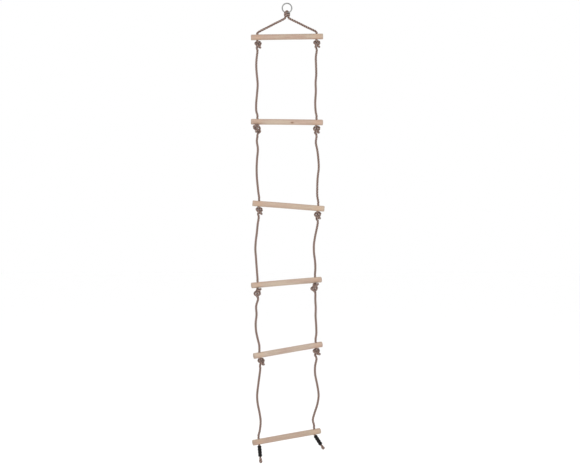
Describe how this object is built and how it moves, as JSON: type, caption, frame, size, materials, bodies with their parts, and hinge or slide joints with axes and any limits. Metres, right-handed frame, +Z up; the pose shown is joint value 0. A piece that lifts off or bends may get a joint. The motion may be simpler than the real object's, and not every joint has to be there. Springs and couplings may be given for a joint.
{
  "type": "rope ladder",
  "caption": "Hanging rope ladder: steel ring, triangular rope bridle, round wooden rungs on knotted laid side ropes, and short sleeved rope ends under the lowest rung.",
  "frame": {"origin": "where a hook bears on the inside of the hanging ring, at its top", "axes": "+Z up along the ladder's length, +X along the rungs to the right, +Y to the back"},
  "size_m": [0.3605, 0.1438, 2.2268],
  "materials": {
    "steel": "bright zinc-plated round wire",
    "rope": "three-strand laid hemp-look rope",
    "wood": "sanded pale wood, unvarnished",
    "sleeve": "black ribbed rubber sleeve"
  },
  "bodies": {
    "ring": {"hang_ring": "steel"},
    "eye": {"ring_knot": "rope"},
    "bridle": {"bridle_leg_left": "rope", "bridle_leg_right": "rope"},
    "step_1": {"rung_1": "wood", "knot_1_left": "rope", "knot_1_right": "rope"},
    "bay_1": {"side_rope_1_left": "rope", "side_rope_1_right": "rope"},
    "step_2": {"rung_2": "wood", "knot_2_left": "rope", "knot_2_right": "rope"},
    "bay_2": {"side_rope_2_left": "rope", "side_rope_2_right": "rope"},
    "step_3": {"rung_3": "wood", "knot_3_left": "rope", "knot_3_right": "rope"},
    "bay_3": {"side_rope_3_left": "rope", "side_rope_3_right": "rope"},
    "step_4": {"rung_4": "wood", "knot_4_left": "rope", "knot_4_right": "rope"},
    "bay_4": {"side_rope_4_left": "rope", "side_rope_4_right": "rope"},
    "step_5": {"rung_5": "wood", "knot_5_left": "rope", "knot_5_right": "rope"},
    "bay_5": {"side_rope_5_left": "rope", "side_rope_5_right": "rope"},
    "step_6": {"rung_6": "wood", "rung_6_rope_left": "rope", "rung_6_rope_right": "rope"},
    "tail_left": {"tail_rope_left": "rope", "stop_sleeve_left": "sleeve"},
    "tail_right": {"tail_rope_right": "rope", "stop_sleeve_right": "sleeve"}
  },
  "joints": [
    {"name": "eye_swing", "type": "hinge", "parent": "ring", "child": "eye", "pos_m": [0, 0, -0.043], "axis": [1, 0, 0], "range_deg": [-80, 80]},
    {"name": "bridle_sway", "type": "hinge", "parent": "eye", "child": "bridle", "pos_m": [0, 0, -0.068], "axis": [0, 1, 0], "range_deg": [-20, 20]},
    {"name": "rung_1_roll", "type": "hinge", "parent": "bridle", "child": "step_1", "pos_m": [-0.00029, -0.00002, -0.139], "axis": [-0.9984, -0.0523, -0.0209], "range_deg": [-80, 80]},
    {"name": "bay_1_bend", "type": "hinge", "parent": "step_1", "child": "bay_1", "pos_m": [0.00029, 0.00002, -0.22], "axis": [0.9984, 0.0523, 0.0209], "range_deg": [-85, 85]},
    {"name": "rung_2_fold", "type": "hinge", "parent": "bay_1", "child": "step_2", "pos_m": [0.00005, 0.00001, -0.552], "axis": [-0.9945, -0.1045, 0.0035], "range_deg": [-85, 85]},
    {"name": "bay_2_bend", "type": "hinge", "parent": "step_2", "child": "bay_2", "pos_m": [-0.00005, -0.00001, -0.633], "axis": [-0.9945, -0.1045, 0.0035], "range_deg": [-85, 85]},
    {"name": "rung_3_fold", "type": "hinge", "parent": "bay_2", "child": "step_3", "pos_m": [0.00807, 0.00006, -0.95904], "axis": [0.9957, 0.0522, -0.0767], "range_deg": [-85, 85]},
    {"name": "bay_3_bend", "type": "hinge", "parent": "step_3", "child": "bay_3", "pos_m": [0.00593, -0.00006, -1.03996], "axis": [0.9957, 0.0522, -0.0767], "range_deg": [-85, 85]},
    {"name": "rung_4_fold", "type": "hinge", "parent": "bay_3", "child": "step_4", "pos_m": [-0.00302, -0.00025, -1.33004], "axis": [-0.9676, -0.2412, -0.075], "range_deg": [-85, 85]},
    {"name": "bay_4_bend", "type": "hinge", "parent": "step_4", "child": "bay_4", "pos_m": [-0.00098, 0.00025, -1.41096], "axis": [-0.9676, -0.2412, -0.075], "range_deg": [-85, 85]},
    {"name": "rung_5_fold", "type": "hinge", "parent": "bay_4", "child": "step_5", "pos_m": [0.00307, -0.00059, -1.65815], "axis": [0.9463, 0.2893, 0.1444], "range_deg": [-85, 85]},
    {"name": "bay_5_bend", "type": "hinge", "parent": "step_5", "child": "bay_5", "pos_m": [0.00693, 0.00059, -1.73885], "axis": [0.9463, 0.2893, 0.1444], "range_deg": [-85, 85]},
    {"name": "rung_6_fold", "type": "hinge", "parent": "bay_5", "child": "step_6", "pos_m": [-0.00263, -0.00059, -2.07811], "axis": [-0.9325, -0.3394, -0.1236], "range_deg": [-85, 85]},
    {"name": "tail_left_flex", "type": "hinge", "parent": "step_6", "child": "tail_left", "pos_m": [-0.13365, -0.04828, -2.13219], "axis": [0.9325, 0.3394, 0.1236], "range_deg": [-25, 25]},
    {"name": "tail_right_flex", "type": "hinge", "parent": "step_6", "child": "tail_right", "pos_m": [0.1349, 0.04947, -2.09659], "axis": [0.9325, 0.3394, 0.1236], "range_deg": [-25, 25]}
  ]
}
